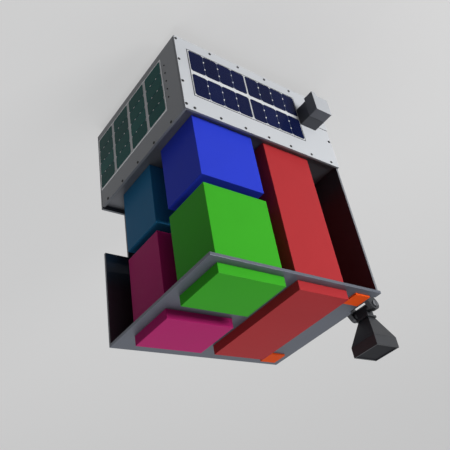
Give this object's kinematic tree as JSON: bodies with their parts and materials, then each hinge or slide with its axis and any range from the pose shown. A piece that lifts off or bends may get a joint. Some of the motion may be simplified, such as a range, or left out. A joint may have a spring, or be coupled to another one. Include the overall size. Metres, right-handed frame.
{
  "type": "satellite",
  "caption": "Box-shaped microsatellite with body-mounted solar cells, an open payload bay of coloured modules, a framed payload end and a tilting horn antenna, parked on its separation ring.",
  "frame": {"origin": "centre of the separation ring's bolt circle, on the floor plane of its flange", "axes": "+Z from the ring to the payload end, the white front panel faces -Y, the horn is on the -X side"},
  "size_m": [0.5312, 0.453, 0.746],
  "materials": {
    "bare_aluminium": "machined",
    "white_panel": "satin white paint",
    "black_panel": "matt black paint",
    "grey_frame": "grey anodised",
    "green_module": "satin green paint",
    "blue_module": "satin blue paint",
    "magenta_module": "satin magenta paint",
    "teal_module": "satin teal paint",
    "red_module": "satin red paint",
    "orange_pad": "matt",
    "solar_cells": "cover glass over dark blue cells",
    "dark_grey": "dark grey anodised",
    "light_grey": "light grey anodised",
    "steel": "ground",
    "horn_cover": "matt"
  },
  "bodies": {
    "satellite": {"separation_ring": "bare_aluminium", "end_panel": "bare_aluminium", "front_panel": "white_panel", "side_panel_short": "white_panel", "side_panel_full": "black_panel", "back_panel": "black_panel", "mid_deck": "black_panel", "payload_frame": "grey_frame", "payload_green": "green_module", "payload_blue": "blue_module", "payload_magenta": "magenta_module", "payload_teal": "teal_module", "payload_red": "red_module", "pad_front": "orange_pad", "pad_back": "orange_pad", "front_array_a": "solar_cells", "front_array_b": "solar_cells", "side_array": "solar_cells", "sensor_base": "dark_grey", "sensor_head": "light_grey", "horn_bracket": "dark_grey", "horn_pin": "steel", "avionics_block": "dark_grey"},
    "horn": {"horn_barrel": "dark_grey", "horn_flare": "dark_grey", "horn_skirt": "dark_grey", "horn_cover": "horn_cover"}
  },
  "joints": [
    {"name": "horn_tilt", "type": "hinge", "parent": "satellite", "child": "horn", "pos_m": [-0.2595, -0.111, 0.639], "axis": [0, -1, 0], "range_deg": [-30, 60]}
  ]
}
